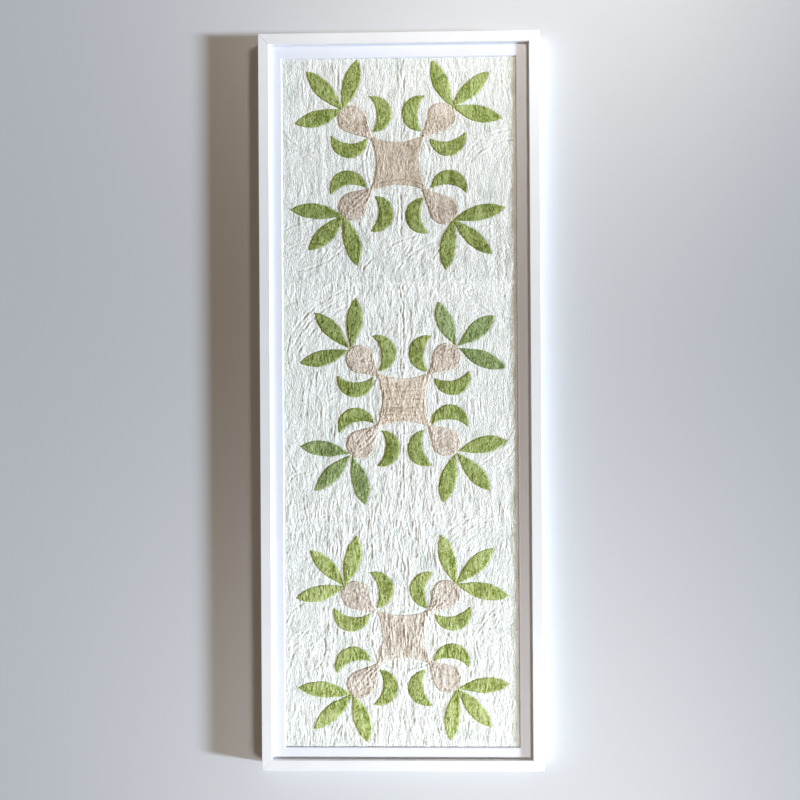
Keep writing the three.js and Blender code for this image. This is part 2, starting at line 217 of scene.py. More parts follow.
def folds(x, y, width, length, turn, seed):
    """Thin broken ridges about that far apart and long, turned clockwise from upright, from 0 to 1."""
    across, along = crease_axes(x, y, width, length, turn)
    ridge = np.exp(-(noise(across, along, seed) / FOLD_NARROWNESS) ** 2)
    return ridge * np.clip(FOLD_COVER + FOLD_BREAKS * noise(across / 2.3, along / 0.8, seed + 1), 0, 1)


def folds_of(x, y, rows):
    """Several runs of ridges added up. A row holds spacing, length, turn, seed and rise."""
    return sum(rise * folds(x, y, apart, length, turn, seed) for apart, length, turn, seed, rise in rows)


def distance_to_line(points, line):
    """How far points are from a run of straight steps, and how far along it the nearest place lies."""
    start, step = line[:-1], np.diff(line, axis=0)
    length = np.maximum(np.hypot(*step.T), 1e-6)
    run = np.concatenate([[0], np.cumsum(length)[:-1]])
    offset = points[:, None, :] - start
    share = np.clip((offset * step).sum(-1) / length**2, 0, 1)
    distance = np.linalg.norm(offset - share[..., None] * step, axis=-1)
    nearest = distance.argmin(1)
    rows = np.arange(len(points))
    return distance[rows, nearest], run[nearest] + share[rows, nearest] * length[nearest]


def is_inside(points, outline):
    """Whether points lie within a closed outline."""
    ahead = np.roll(outline, -1, axis=0)
    rise = ahead[:, 1] - outline[:, 1]
    rise = np.where(np.abs(rise) < 1e-9, 1e-9, rise)
    x, y = points[:, :1], points[:, 1:]
    crosses = (outline[:, 1] > y) != (ahead[:, 1] > y)
    meets = outline[:, 0] + (y - outline[:, 1]) / rise * (ahead[:, 0] - outline[:, 0])
    return (crosses & (x < meets)).sum(1) % 2 == 1


def leaf_plan(along, across, length, width, bow):
    """A leaf with two pointed ends along the X axis. Along and across run from -1 to 1, as in each plan."""
    share = (along + 1) / 2
    widest = LEAF_BASE_TAPER / (LEAF_BASE_TAPER + LEAF_TIP_TAPER)
    fullest = widest**LEAF_BASE_TAPER * (1 - widest) ** LEAF_TIP_TAPER
    half = width / 2 * share**LEAF_BASE_TAPER * (1 - share) ** LEAF_TIP_TAPER / fullest
    return np.stack([share * length, across * half + bow * 4 * share * (1 - share)], axis=-1)


def crescent_plan(along, across):
    """A half moon between a round outer arc and a flatter inner one."""
    outer = on_arc(CRESCENT_CHORD, CRESCENT_RISE, along)
    inner = on_arc(CRESCENT_CHORD, CRESCENT_HOLLOW, along)
    return inner + (outer - inner) * ((across + 1) / 2)[..., None]


def bulb_plan(along, across, end):
    """A teardrop along the X axis, from the reel's neck to a round end that the flanks run into."""
    centre = end - BULB_RADIUS
    flank = math.asin((BULB_RADIUS - NECK_HALF_WIDTH) / (centre - NECK_OUT)) + FLANK_EASE
    angles = np.linspace(math.pi / 2 + flank, 0, 40)
    round_end = np.stack([centre + BULB_RADIUS * np.cos(angles), BULB_RADIUS * np.sin(angles)], axis=-1)
    share = np.linspace(0, 1, 20)[:-1, None]
    side = np.array([NECK_OUT - NECK_OVERLAP, NECK_HALF_WIDTH]) * (1 - share) + round_end[0] * share
    side[:, 1] -= FLANK_HOLLOW * np.sin(math.pi * share[:, 0]) * (1 - share[:, 0])
    outline = np.vstack([side, round_end])
    run = np.concatenate([[0], np.cumsum(np.linalg.norm(np.diff(outline, axis=0), axis=1))])
    at = (along + 1) / 2 * run[-1]
    return np.stack([np.interp(at, run, outline[:, 0]), across * np.interp(at, run, outline[:, 1])], axis=-1)


def reel_plan(along, across):
    """A square whose four sides are hollowed by arcs, so that its corners run out into points."""
    def side(share):
        return REEL_CORNER - on_arc(2 * REEL_CORNER, REEL_CORNER - REEL_SIDE, share)[..., 1]

    return np.stack([along * side(across), across * side(along)], axis=-1)


def uneven(points):
    """Moves points by up to a millimetre, as hand-cut and hand-turned edges wander."""
    x, y = points.T
    waves = [noise(x / EDGE_WANDER_LENGTH, y / EDGE_WANDER_LENGTH, seed) for seed in (71, 72)]
    return points + EDGE_WANDER * np.stack(waves, axis=-1)


def patch_plans():
    """For each patch its name, the solids that it stands for, its kind, and its plan in the frame."""
    plans = {}
    for block, (middle, arms) in BLOCKS.items():
        def place(plan, turn=0.0, middle=middle):
            return lambda along, across: uneven(turned(plan(along, across), turn) + middle)

        plans[f"{block}_reel_patch"] = (f"{block}_reel", "reel", place(reel_plan))
        for number, arm in enumerate(ARM_NAMES):
            lean, root, leaves, left, right = arms[arm]
            turn = 45 + 90 * number + lean
            prefix = f"{block}_{arm}"

            def bulb(along, across, end=root + BULB_PAST_ROOT):
                return bulb_plan(along, across, end)

            plans[f"{prefix}_bulb_patch"] = (f"{prefix}_bulb", "bulb", place(bulb, turn))
            for side, (leaf_turn, reach) in zip(LEAF_NAMES, leaves):
                unlike = math.sin(7.3 * leaf_turn + 3.1 * root)
                bow = {"left": LEAF_BOW, "middle": 0, "right": -LEAF_BOW}[side] + LEAF_BOW_SPREAD * unlike
                width = LEAF_WIDTH + LEAF_WIDTH_SPREAD * unlike

                def leaf(along, across, leaf_turn=leaf_turn, width=width, bow=bow, root=root,
                         start=LEAF_START[block], reach=reach):
                    plan = leaf_plan(along, across, reach - start, width, bow)
                    return turned(plan + [start, 0], leaf_turn) + [root, 0]

                plans[f"{prefix}_leaf_{side}"] = (f"{prefix}_sprig", "leaf", place(leaf, turn))
            for side, sign, (out, aside, outward) in (("left", 1, left), ("right", -1, right)):
                def crescent(along, across, sign=sign, out=out, aside=aside, outward=outward):
                    return (turned(crescent_plan(along, across), outward) + [out, aside]) * [1, sign]

                node = f"{prefix}_crescent_{side}"
                plans[f"{node}_patch"] = (node, "crescent", place(crescent, turn))
    return plans


PLANS = patch_plans()


def outline_of(plan, steps=56):
    """The closed edge of a patch's plan."""
    run = np.linspace(-1, 1, steps, endpoint=False)
    one = np.ones_like(run)
    along = np.concatenate([run, one, -run, -one])
    across = np.concatenate([-one, run, one, -run])
    return plan(along, across)


OUTLINES = [outline_of(plan) for _, _, plan in PLANS.values()]
EDGE_REACH = 16
BEYOND_REACH = -30.0
PLACE_STEP = 300


def near_run(points, run, reach):
    """Which points lie in the box round a run of points, grown by a reach."""
    return np.flatnonzero(((points > run.min(0) - reach) & (points < run.max(0) + reach)).all(1))


def patch_edges(points):
    """How far inside the nearest patch points are, negative outside, and where along its edge."""
    depth = np.full(len(points), BEYOND_REACH)
    place = np.zeros(len(points))
    for number, outline in enumerate(OUTLINES):
        near = near_run(points, outline, EDGE_REACH)
        if len(near) == 0:
            continue
        distance, run = distance_to_line(points[near], np.vstack([outline, outline[:1]]))
        distance = np.where(is_inside(points[near], outline), distance, -distance)
        nearer = distance > depth[near]
        depth[near[nearer]] = distance[nearer]
        place[near[nearer]] = run[nearer] + PLACE_STEP * number
    return depth, place


def stitched_lines():
    """Every quilting line as a run of points in the frame."""
    lines = []
    share = np.linspace(-1, 1, 15)
    for block, (middle, arms) in BLOCKS.items():
        arcs = list(QUILTING[block])
        for quarter in range(4):
            out = HOLLOW_STITCH_OUT - HOLLOW_STITCH_RISE
            ends = turned(np.array([[out, -HOLLOW_STITCH_HALF], [out, HOLLOW_STITCH_HALF]]), 90 * quarter)
            arcs.append((*ends[1], *ends[0], HOLLOW_STITCH_RISE))
        for number, arm in enumerate(ARM_NAMES):
            lean, root = arms[arm][:2]
            for bow in BULB_VEINS.get(f"{block}_{arm}", ()):
                start = [NECK_OUT, VEIN_STARTS_ASIDE * bow]
                end = [root - VEIN_SHORT_OF_ROOT, VEIN_ENDS_ASIDE * bow]
                ends = turned(np.array([start, end]), 45 + 90 * number + lean)
                arcs.append((*ends[0], *ends[1], bow))
        for x1, y1, x2, y2, bow in arcs:
            chord = math.hypot(x2 - x1, y2 - y1)
            line = on_arc(chord, bow or 0.01, share)
            heading = math.degrees(math.atan2(y2 - y1, x2 - x1))
            lines.append(turned(line, heading) + [(x1 + x2) / 2 + middle[0], (y1 + y2) / 2 + middle[1]])
    return lines


STITCHED = stitched_lines()


# The washed creases: spacing, length, turn from upright, seed and rise. Their strength changes across the
# panel and along it, and smooth swells of the wadding lie under them.
LENGTHWISE_FOLDS = ((7, 38, 0, 1, 1), (4.6, 20, 3, 5, 0.75), (8, 30, -2, 9, -0.8))
CROSSWISE_FOLDS = ((7, 24, 88, 33, 0.55),)
SEAM_FOLDS = ((6.5, 20, 0, 23, 0.24), (6, 30, 90, 27, 0.75))
SEAM_REACH = 24
SEAM_WANDER = 1.2
LENGTHWISE_RISE = 0.36
STRENGTH_ACROSS = ((-205, -150, 90, 170), (0.8, 1, 1, 0.68))
STRENGTH_ALONG = ((-240, -150, 180, 270, 400), (2.2, 1.65, 1.6, 1.85, 1.2))
SWELLS = ((11, 38, 11, 0.42), (5, 6, 13, 0.16), (30, 36, 17, 0.26))

# The quilting: a narrow groove with a puffed lip on both sides, puckered from stitch to stitch.
GROOVE_DEPTH = 0.6
GROOVE_WIDTH = 1.3
GROOVE_REACH = 9
GROOVE_WANDER = 1.2
LIP_RISE = 0.34
LIP_OUT = 3.2
LIP_WIDTH = 1.8
STITCH_LENGTH = 3.4
STITCH_PUCKER = 0.3


def crinkle(points):
    """How high the washed and quilted cloth stands over its mean level, in millimetres."""
    x, y = points.T
    upright = folds_of(x, y, LENGTHWISE_FOLDS)
    for number, (block, (middle, _)) in enumerate(BLOCKS.items()):
        for spot, (spot_x, spot_y, reach, turn) in enumerate(TURNED_CREASES[block]):
            away = np.hypot(x - middle[0] - spot_x, y - middle[1] - spot_y) / reach
            weight = np.exp(-away**4)
            near = weight > 0.02
            seed = 9 * number + spot
            other = np.zeros_like(x)
            other[near] = folds_of(x[near], y[near], (
                (6.5, 20, turn, 20 + seed, 1.2), (5.5, 14, turn + 70, 60 + seed, 0.9),
            ))
            upright += weight * (other - upright)
    upright *= np.interp(x, *STRENGTH_ACROSS)
    height = LENGTHWISE_RISE * upright * np.interp(y, *STRENGTH_ALONG)
    height += folds_of(x, y, CROSSWISE_FOLDS) * np.clip(0.45 + noise(x / 70, y / 50, 35), 0, 1)
    for width, length, seed, rise in SWELLS:
        height += rise * noise(x / width, y / length, seed)
    for seam_y in SEAM_Y:
        away = np.abs(y - seam_y - SEAM_WANDER * noise(x / 60, y * 0, 19))
        height += np.exp(-(away / SEAM_REACH) ** 2) * folds_of(x, y, SEAM_FOLDS)
    for number, line in enumerate(STITCHED):
        near = near_run(points, line, GROOVE_REACH)
        if len(near) == 0:
            continue
        drift = [noise(x[near] / 9, y[near] / 9, seed) for seed in (41, 42)]
        away, run = distance_to_line(points[near] + GROOVE_WANDER * np.stack(drift, -1), line)
        taut = np.clip(0.7 + 0.9 * noise(run / 14, run * 0 + 3.7 * number, 43), 0.1, 1.2)
        pucker = taut * (1 + STITCH_PUCKER * np.sin(run * 2 * math.pi / STITCH_LENGTH))
        height[near] -= GROOVE_DEPTH * pucker * np.exp(-(away / GROOVE_WIDTH) ** 2)
        height[near] += LIP_RISE * taut * np.exp(-((away - LIP_OUT) / LIP_WIDTH) ** 2)
    return height


# Round a patch: creases calm down, the ground puffs up and gathers, and it dips into a ditch at the edge.
# Under the patch it is tucked away, and by the mat it is pressed flat.
CALM_SHARE = 0.5
CALM_REACH = 5
PUFF_RISE = 0.08
PUFF_OUT = 3.2
PUFF_WIDTH = 3.4
GATHER_RISE = 0.42
GATHER_REACH = 7
GATHER_SPACING = 4.6
DITCH_DEPTH = 0.05
DITCH_WIDTH = 0.8
TUCKED_DEPTH = 1.3
TUCKED_REACH = 1.2
PRESSED_SHARE = 0.45
PRESSED_REACH = 6
THINNEST = 1.4
HIGHEST_CREST = 0.6


def ground_height(points):
    """The height of the ground's face over the frame's back. It tucks away under the patches."""
    depth, place = patch_edges(points)
    outside = np.maximum(-depth, 0)
    calm = 1 - CALM_SHARE * np.exp(-(outside / CALM_REACH) ** 2)
    height = GROUND_LEVEL + crinkle(points) * calm
    height += PUFF_RISE * np.exp(-((outside - PUFF_OUT) / PUFF_WIDTH) ** 2)
    gathers = noise(place / GATHER_SPACING, outside / 16, 31)
    height += GATHER_RISE * np.exp(-outside / GATHER_REACH) * gathers
    height -= DITCH_DEPTH * np.exp(-(outside / DITCH_WIDTH) ** 2)
    height -= TUCKED_DEPTH * np.clip(depth / TUCKED_REACH, 0, 1)
    x, y = points.T
    to_end = np.minimum(WINDOW_END_Y[1] - y, y - WINDOW_END_Y[0])
    to_mat = np.minimum(WINDOW_HALF_WIDTH - np.abs(x), to_end)
    pressed = np.clip(1 - to_mat / PRESSED_REACH, 0, 1)
    height -= pressed * (height - GROUND_LEVEL) * PRESSED_SHARE
    return np.clip(height, GROUND_BACK + THINNEST, GROUND_CEILING + HIGHEST_CREST * (1 - pressed))


def points_of(piece):
    """Every point of a mesh, in metres."""
    places = np.empty(3 * len(piece.data.vertices))
    piece.data.vertices.foreach_get("co", places)
    return places.reshape(-1, 3)


def move_points(piece, places):
    """Puts every point of a mesh in its new place, in metres."""
    piece.data.vertices.foreach_set("co", places.ravel())
    piece.data.update()


HEM_TUCK = 0.4
SMOOTH_UP_TO = 60


def close_sheet(piece, back):
    """Turns the sheet's edge down to a flat back, or by the hem's tuck, closes it and smooths its face."""
    count = len(piece.data.vertices)
    bpy.ops.object.mode_set(mode="EDIT")
    bpy.ops.mesh.select_all(action="SELECT")
    bpy.ops.mesh.region_to_loop()
    bpy.ops.mesh.extrude_region_move(TRANSFORM_OT_translate={"value": (0, 0, -MM)})
    bpy.ops.mesh.edge_face_add()
    bpy.ops.mesh.select_all(action="SELECT")
    bpy.ops.mesh.normals_make_consistent(inside=False)
    bpy.ops.object.mode_set(mode="OBJECT")
    places = points_of(piece)
    if back is None:
        places[count:, 2] -= HEM_TUCK * MM
    else:
        places[count:, 2] = back * MM
    move_points(piece, places)
    bpy.ops.object.shade_smooth_by_angle(angle=math.radians(SMOOTH_UP_TO))
    return count


def sheet_from_plan(name, columns, rows, plan, height):
    """A grid laid out on a plan and lifted to its height, with doubled points at the tips merged."""
    bpy.ops.mesh.primitive_grid_add(x_subdivisions=columns, y_subdivisions=rows, size=2)
    piece = bpy.context.object
    piece.name = name
    grid = points_of(piece)
    points = plan(grid[:, 0], grid[:, 1])
    move_points(piece, np.column_stack([points, height(points)]) * MM)
    bpy.ops.object.mode_set(mode="EDIT")
    bpy.ops.mesh.select_all(action="SELECT")
    bpy.ops.mesh.remove_doubles(threshold=0.002 * MM)
    bpy.ops.object.mode_set(mode="OBJECT")
    return piece


def linear(hex_colour):
    """An sRGB colour as linear values."""
    parts = [int(hex_colour[i:i + 2], 16) / 255 for i in (0, 2, 4)]
    return [p / 12.92 if p <= 0.04045 else ((p + 0.055) / 1.055) ** 2.4 for p in parts] + [1.0]


def add_node(tree, kind, settings=(), links=()):
    """Adds a node, sets its properties or sockets by name, and links sockets from other nodes' outputs."""
    node = tree.nodes.new(kind)
    for name, value in dict(settings).items():
        if isinstance(name, str) and hasattr(node, name):
            setattr(node, name, value)
        else:
            node.inputs[name].default_value = value
    for name, source in dict(links).items():
        tree.links.new(source, node.inputs[name])
    return node


def new_material(name):
    """An empty material, its nodes' tree, and the place that its patterns are drawn by."""
    material = bpy.data.materials.new(name)
    material.use_nodes = True
    material.node_tree.nodes.clear()
    place = add_node(material.node_tree, "ShaderNodeTexCoord").outputs["Object"]
    return material, material.node_tree, place


# Washed plain-weave cotton, woven from yarn about 0.45 mm apart and dyed or left unbleached. It is
# matt, with uneven dye and a fine grain of threads. Its crests are painted paler and its creases darker,
# as painted highlight and painted shade. The weave is drawn at 1 mm, because its real spacing is too fine
# to show from where the camera is.
WEAVE_SPACING = 1.0
MOTTLE_SIZE = 4.5
CREASE_SPACING = 4.4
CLOUD_SIZE = 42
MOTTLE_TONE = 0.75
CLOUD_TONE = 0.5
WEAVE_TONE = 0.10
CREASE_LINE_SHADE = 0.24
CREASE_SHARPNESS = 14.0
CREASE_BUMP = 0.45
WEAVE_BUMP = 0.12


def washed_cotton(name, body, deep_dye_and_shade, pale, contrast):
    """Cotton with a body colour, a deeper colour for dye and painted crease shade, a paler one for dye and
    painted crest highlight, and how uneven it is.
    """
    material, tree, place = new_material(name)
    relief_shade = add_node(tree, "ShaderNodeAttribute", {"attribute_name": "relief_shade"}).outputs["Fac"]
    bands = 2 * math.pi / (20 * WEAVE_SPACING * MM)
    warp, weft = (add_node(tree, "ShaderNodeTexWave", {
        "bands_direction": way, "Scale": bands, "Distortion": 1.4, "Detail": 1.0, "Detail Scale": 0.3,
    }, {"Vector": place}).outputs["Fac"] for way in "XY")
    weave = add_node(tree, "ShaderNodeMath", {"operation": "MULTIPLY"}, {0: warp, 1: weft}).outputs[0]
    mottle = add_node(tree, "ShaderNodeTexNoise", {
        "Scale": 1 / (MOTTLE_SIZE * MM), "Detail": 3.0, "Roughness": 0.65,
    }, {"Vector": place}).outputs["Fac"]
    cloud = add_node(tree, "ShaderNodeTexNoise", {
        "Scale": 1 / (CLOUD_SIZE * MM), "Detail": 2.0,
    }, {"Vector": place}).outputs["Fac"]
    tone = add_node(tree, "ShaderNodeMath", {
        "operation": "MULTIPLY_ADD", 1: MOTTLE_TONE * contrast, 2: 0.5,
    }, {
        0: add_node(tree, "ShaderNodeMath", {"operation": "SUBTRACT", 1: 0.5}, {0: mottle}).outputs[0],
    }).outputs[0]
    tone = add_node(tree, "ShaderNodeMath", {"operation": "MULTIPLY_ADD", 1: CLOUD_TONE * contrast}, {
        0: add_node(tree, "ShaderNodeMath", {"operation": "SUBTRACT", 1: 0.5}, {0: cloud}).outputs[0],
        2: tone,
    }).outputs[0]
    tone = add_node(tree, "ShaderNodeMath", {"operation": "MULTIPLY_ADD", 1: WEAVE_TONE}, {
        0: weave, 2: tone,
    }).outputs[0]
    # Painted shade and highlight: the relief attribute colours crests paler and creases darker.
    tone = add_node(tree, "ShaderNodeMath", {"operation": "ADD"}, {0: tone, 1: relief_shade}).outputs[0]
    stretched = add_node(tree, "ShaderNodeMapping", {"Scale": (1, 0.45, 1)}, {"Vector": place}).outputs[0]
    ripples = add_node(tree, "ShaderNodeTexNoise", {
        "Scale": 1 / (CREASE_SPACING * MM), "Detail": 1.5, "Roughness": 0.5, "Distortion": 0.5,
    }, {"Vector": stretched}).outputs["Fac"]
    level = add_node(tree, "ShaderNodeMath", {"operation": "SUBTRACT", 1: 0.5}, {0: ripples}).outputs[0]
    level = add_node(tree, "ShaderNodeMath", {"operation": "ABSOLUTE"}, {0: level}).outputs[0]
    lines = add_node(tree, "ShaderNodeMath", {
        "operation": "MULTIPLY", 1: CREASE_SHARPNESS, "use_clamp": True,
    }, {0: level}).outputs[0]
    # Painted shade: thin dark lines put into the colour along the valleys of the crease bump.
    tone = add_node(tree, "ShaderNodeMath", {"operation": "MULTIPLY_ADD", 1: CREASE_LINE_SHADE * contrast}, {
        0: add_node(tree, "ShaderNodeMath", {"operation": "SUBTRACT", 1: 0.75}, {0: lines}).outputs[0],
        2: tone,
    }).outputs[0]
    ramp = add_node(tree, "ShaderNodeValToRGB", {}, {"Fac": tone})
    stops = ramp.color_ramp.elements
    # Deep stop: darker dye and painted crease shade. Pale stop: paler dye and painted crest highlight.
    stops[0].position, stops[0].color = 0.12, linear(deep_dye_and_shade)
    stops[1].position, stops[1].color = 0.92, linear(pale)
    stops.new(0.52).color = linear(body)
    folds_bump = add_node(tree, "ShaderNodeBump", {"Strength": 1.0, "Distance": CREASE_BUMP * MM}, {
        "Height": lines,
    }).outputs[0]
    grain = add_node(tree, "ShaderNodeBump", {"Strength": 0.35, "Distance": WEAVE_BUMP * MM}, {
        "Height": weave, "Normal": folds_bump,
    }).outputs[0]
    shader = add_node(tree, "ShaderNodeBsdfPrincipled", {
        "Roughness": 0.92, "IOR": 1.46, "Specular IOR Level": 0.25,
        "Sheen Weight": 0.08, "Sheen Roughness": 0.5,
    }, {"Base Color": ramp.outputs["Color"], "Normal": grain})
    add_node(tree, "ShaderNodeOutputMaterial", {}, {"Surface": shader.outputs[0]})
    return material


def write_shade_relief(piece, values):
    """Stores how far each point stands over or under its surroundings, which the cloth's colour turns into
    painted shade and highlight.
    """
    attribute = piece.data.attributes.new("relief_shade", "FLOAT", "POINT")
    padded = np.zeros(len(piece.data.vertices), np.float32)
    padded[:len(values)] = values
    attribute.data.foreach_set("value", padded)


GROUND_COTTON = {
    "top": washed_cotton("washed cotton, off-white", "e9ece6", "ced4cb", "f3f6f1", 0.7),
    "middle": washed_cotton("washed cotton, cool off-white", "f2f5ee", "d7ded4", "fafcf8", 0.7),
    "bottom": washed_cotton("washed cotton, pale off-white", "eef2ec", "d2d9d0", "f8fbf7", 0.7),
}
# How strongly the ground's relief is painted into its colour as shade and highlight.
GROUND_RELIEF_SHADE = 0.6
EDGES_Y = (GROUND_END_Y[0], *SEAM_Y, GROUND_END_Y[1])
for number, block in enumerate(("bottom", "middle", "top")):
    low_y = EDGES_Y[number] + (SEAM_GAP / 2 if number else 0)
    high_y = EDGES_Y[number + 1] - (SEAM_GAP / 2 if number < 2 else 0)

    def rectangle(along, across, low_y=low_y, high_y=high_y):
        y = (low_y + high_y) / 2 + across * (high_y - low_y) / 2
        return np.stack([along * GROUND_HALF_WIDTH, y], axis=-1)

    ground = sheet_from_plan(f"{block}_block", GROUND_COLUMNS, GROUND_ROWS, rectangle, ground_height)
    face_count = close_sheet(ground, GROUND_BACK)
    faces = points_of(ground)[:face_count] / MM
    # Painted shade and highlight: the ground's creases are coloured darker and its crests paler.
    write_shade_relief(ground, np.clip(crinkle(faces[:, :2]) * GROUND_RELIEF_SHADE, -0.45, 0.35))
    ground.data.materials.append(GROUND_COTTON[block])
    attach(ground, "root")
    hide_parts(f"{block}_ground")

# Reels: the four-pointed middle of each block, thin faded brown or tan cotton with hollow sides. It is
# cut by hand, its edge is turned under and sewn down with small stitches, and then it is quilted and
# washed with the ground. Creases run on through it, and a faint pale rim is painted along its rounded edge
# as a painted highlight.
PATCH_LEVEL = GROUND_LEVEL - 0.2
EDGE_RISE = 1.15
EDGE_RADIUS = 1.5
HEM_WIDTH = 5.3
HEM_SLOPE = 0.8
HEM_RISE = 0.05
CROWN_RISE = 0.3
CROWN_REACH = 6
SEWN_REACH = 2.2
GROUND_CREASES_SHARE = 0.9
# A faint pale rim painted along each patch's edge as a highlight.
EDGE_HIGHLIGHT = 0.05
EDGE_HIGHLIGHT_REACH = 1.1
# How strongly a patch's relief is painted into its colour as shade and highlight.
PATCH_RELIEF_SHADE = 0.65
PATCH_TONE_LIFT = 0.08
REEL_GRID = (96, 96)
REEL_CREASES = (5, 8, 0.1)
REEL_FOLDS = {
    "top": ((4.6, 14, 0, 0.18), (9, 60, 2, 0.2)),
    "middle": ((6, 24, 0, 0.5), (4.6, 34, 89, 0.55)),
    "bottom": ((6.5, 45, 1, 0.95), (4.6, 26, -3, 0.6)),
}
REEL_COTTON = {
    "top": washed_cotton("washed cotton, faded brown", "c6b7a3", "a5937d", "ded2c2", 1.2),
    "middle": washed_cotton("washed cotton, faded tan", "e1d0b8", "bba890", "f3e7d8", 1.6),
    "bottom": washed_cotton("washed cotton, pale tan", "dbd1c0", "bbab9a", "ede6da", 1.6),
}

# Puffs between washed creases, as cells about each one's middle.
CREASE_WANDER_ACROSS = 0.5
CREASE_WANDER_ALONG = 0.4
CREASE_VALLEY = 0.7
CREASE_MEAN = 1.3
CELLS_AWAY = 9.0
FOLD_MEAN = 0.3


def creases(x, y, width, length, turn, seed):
    """Puffs about that wide and long between narrow valleys, turned clockwise from upright, from -1 to 1."""
    across, along = crease_axes(x, y, width, length, turn)
    aside = CREASE_WANDER_ACROSS * noise(across / 2.2, along, seed + 1)
    ahead = CREASE_WANDER_ALONG * noise(across, along, seed + 2)
    across, along = across + aside, along + ahead
    column, row = np.floor(across).astype(int), np.floor(along).astype(int)
    shift = np.random.default_rng(seed).uniform(0.05, 0.95, (2, NOISE_CELLS, NOISE_CELLS))
    nearest = np.full_like(across, CELLS_AWAY)
    second = nearest
    for step_x in (-1, 0, 1):
        for step_y in (-1, 0, 1):
            cell_x, cell_y = column + step_x, row + step_y
            slip_x, slip_y = shift[:, cell_y % NOISE_CELLS, cell_x % NOISE_CELLS]
            away = np.hypot(cell_x + slip_x - across, cell_y + slip_y - along)
            second = np.minimum(second, np.maximum(nearest, away))
            nearest = np.minimum(nearest, away)
    return 2 * np.sqrt(np.clip((second - nearest) / CREASE_VALLEY, 0, 1)) - CREASE_MEAN


def sew_patch(name, grid, own_creases, own_folds, cotton):
    """Makes a patch that follows the ground's creases, with its rounded edge, hem and crown."""
    node, kind, plan = PLANS[name]
    outline = outline_of(plan)
    width, length, strength = own_creases
    seed = 100 + sum(map(ord, name))

    def layers(points):
        inside, _ = distance_to_line(points, np.vstack([outline, outline[:1]]))
        x, y = points.T
        edge = np.sqrt(1 - (1 - np.clip(inside / EDGE_RADIUS, 0, 1)) ** 2)
        hem = np.clip((HEM_WIDTH - inside) / HEM_SLOPE, 0, 1)
        crown = 1 - np.exp(-inside / CROWN_REACH)
        settle = 1 - np.exp(-inside / SEWN_REACH)
        own = strength * creases(x, y, width, length, 20 * math.sin(seed), seed)
        own += 0.12 * noise(x / 3, y / 3.4, seed)
        for number, (apart, run, turn, rise) in enumerate(own_folds):
            own += rise * (folds(x, y, apart, run, turn, seed + number) - FOLD_MEAN)
        bumps = (GROUND_CREASES_SHARE * crinkle(points) + own) * (0.45 + 0.55 * settle)
        return PATCH_LEVEL + EDGE_RISE * edge + HEM_RISE * hem + CROWN_RISE * crown, bumps, inside

    def height(points):
        smooth, bumps, _ = layers(points)
        return smooth + bumps

    def closer_at_edges(along, across):
        return plan(np.sin(along * math.pi / 2) if kind == "reel" else along, np.sin(across * math.pi / 2))

    patch = sheet_from_plan(name, *grid, closer_at_edges, height)
    face_count = close_sheet(patch, None)
    faces = points_of(patch)[:face_count] / MM
    _, bumps, inside = layers(faces[:, :2])
    # Painted highlight: a faint pale rim along the patch's edge.
    painted_edge_highlight = EDGE_HIGHLIGHT * np.exp(-(inside / EDGE_HIGHLIGHT_REACH) ** 2)
    # Painted shade and highlight: a patch's creases are coloured darker and its crests paler; the lift makes
    # the whole patch a little paler.
    tone = (bumps - np.median(bumps)) * PATCH_RELIEF_SHADE + PATCH_TONE_LIFT
    write_shade_relief(patch, np.clip(tone, -0.4, 0.45) + painted_edge_highlight)
    patch.data.materials.append(cotton)
    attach(patch, "root")
    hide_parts(node)


def patches_of(kind):
    """Name, block and arm of every patch of a kind."""
    return [(name, *name.split("_")[:2]) for name, (_, its_kind, _) in PLANS.items() if its_kind == kind]


for name, block, _ in patches_of("reel"):
    sew_patch(name, REEL_GRID, REEL_CREASES, REEL_FOLDS[block], REEL_COTTON[block])

# Bulbs: teardrops of faded rose tan cotton that grow from the reels' corners, cut and sewn down as the
# reels are. They are small, so washing has puckered them more, and a few are quilted along their length.
BULB_GRID = (54, 40)
BULB_CREASES = (5, 7, 0.46)
BULB_COTTON = {
    "top": washed_cotton("washed cotton, faded rose brown", "d1c3b0", "ac9b88", "e6dacc", 1.6),
    "top_low": washed_cotton("washed cotton, dull rose brown", "c6b8a6", "a49482", "dcd0c2", 1.6),
    "middle": washed_cotton("washed cotton, faded rose tan", "dccebc", "b7a795", "f0e5d8", 1.6),
    "bottom": washed_cotton("washed cotton, pale rose tan", "d8cdbe", "b8aa99", "ebe3d8", 1.6),
}

for name, block, arm in patches_of("bulb"):
    low_on_top = block == "top" and arm[0] == "s"
    cotton = BULB_COTTON["top_low" if low_on_top else block]
    sew_patch(name, BULB_GRID, BULB_CREASES, (), cotton)

# Leaves: pointed leaves of dyed green cotton, three past each bulb, each cut and sewn down on its own.
# The green has faded unevenly, so it is browner, bluer or paler from one sprig to the next.
LEAF_GRID = (80, 24)
LEAF_CREASES = (4.4, 8, 0.26)
GREEN_COTTON = {
    "bright": washed_cotton("washed cotton, leaf green", "98a85a", "6d7d30", "b5c480", 1.9),
    "plain": washed_cotton("washed cotton, green", "8e9c53", "65732b", "aebc77", 1.9),
    "dull": washed_cotton("washed cotton, moss green", "84924c", "5d6a29", "a5b36f", 1.9),
    "blue": washed_cotton("washed cotton, sage green", "8d9e63", "667944", "adbf88", 1.9),
    "soft": washed_cotton("washed cotton, soft leaf green", "9daa61", "748238", "bdca86", 1.9),
    "pale": washed_cotton("washed cotton, pale leaf green", "a5b366", "7b8a3a", "c4d18f", 1.9),
}
LEAF_GREENS = {
    "top": {"ne": "bright", "nw": "plain", "sw": "dull", "se": "dull"},
    "middle": {"ne": "blue", "nw": "dull", "sw": "blue", "se": "bright"},
    "bottom": dict.fromkeys(ARM_NAMES, "pale"),
}

